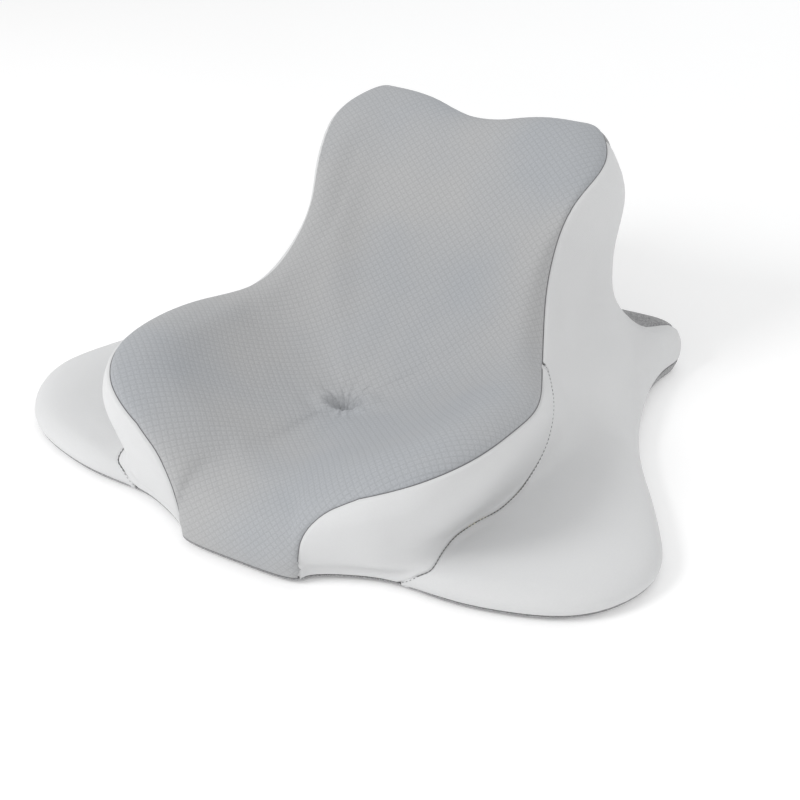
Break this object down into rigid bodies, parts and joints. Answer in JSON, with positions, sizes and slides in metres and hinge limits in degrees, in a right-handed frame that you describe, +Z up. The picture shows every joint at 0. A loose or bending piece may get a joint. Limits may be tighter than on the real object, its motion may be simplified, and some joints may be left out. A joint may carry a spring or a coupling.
{
  "type": "lumbar support cushion",
  "caption": "One-piece seat and lumbar support cushion with a dished seat, low backrest, spreading side wings and a removable zip cover.",
  "frame": {"origin": "middle of the overall box, on the floor plane under the cushion", "axes": "+X to the right as seen from the front, +Y to the rear toward the backrest, +Z up"},
  "size_m": [0.65, 0.5, 0.25],
  "materials": {
    "grey_knit": "fine waffle knit",
    "white_knit": "smooth matt knit",
    "grip_fabric": "matt, flecked, with grip dots underneath",
    "foam": "moulded open-cell foam skin",
    "zip_tape": "woven tape",
    "zip_nylon": "nylon coil",
    "zip_zinc": "plated zinc casting",
    "tuft_cord": "twisted cord",
    "tuft_plastic": "moulded plastic"
  },
  "bodies": {
    "cushion": {"foam_core": "foam", "top_panel": "grey_knit", "side_band_left": "white_knit", "side_band_right": "white_knit", "wing_panel_left": "white_knit", "wing_panel_right": "white_knit", "back_panel": "grip_fabric", "base_panel": "grip_fabric", "zip_tape_upper": "zip_tape", "zip_tape_lower": "zip_tape", "zip_coil_upper": "zip_nylon", "zip_coil_lower": "zip_nylon", "zip_stop_left": "zip_zinc", "zip_stop_right": "zip_zinc", "tuft_cord": "tuft_cord", "tuft_anchor_top": "tuft_plastic", "tuft_anchor_base": "tuft_plastic"},
    "zip_slider": {"zip_slider": "zip_zinc"},
    "zip_pull": {"zip_pull": "zip_zinc"}
  },
  "joints": [
    {"name": "zip_slide", "type": "slide", "parent": "cushion", "child": "zip_slider", "axis": [1, 0, 0], "range_m": [-0.4013, 0]},
    {"name": "pull_hinge", "type": "hinge", "parent": "zip_slider", "child": "zip_pull", "pos_m": [0.20076, 0.2482, 0.024], "axis": [0, 0, -1], "range_deg": [0, 175]}
  ]
}
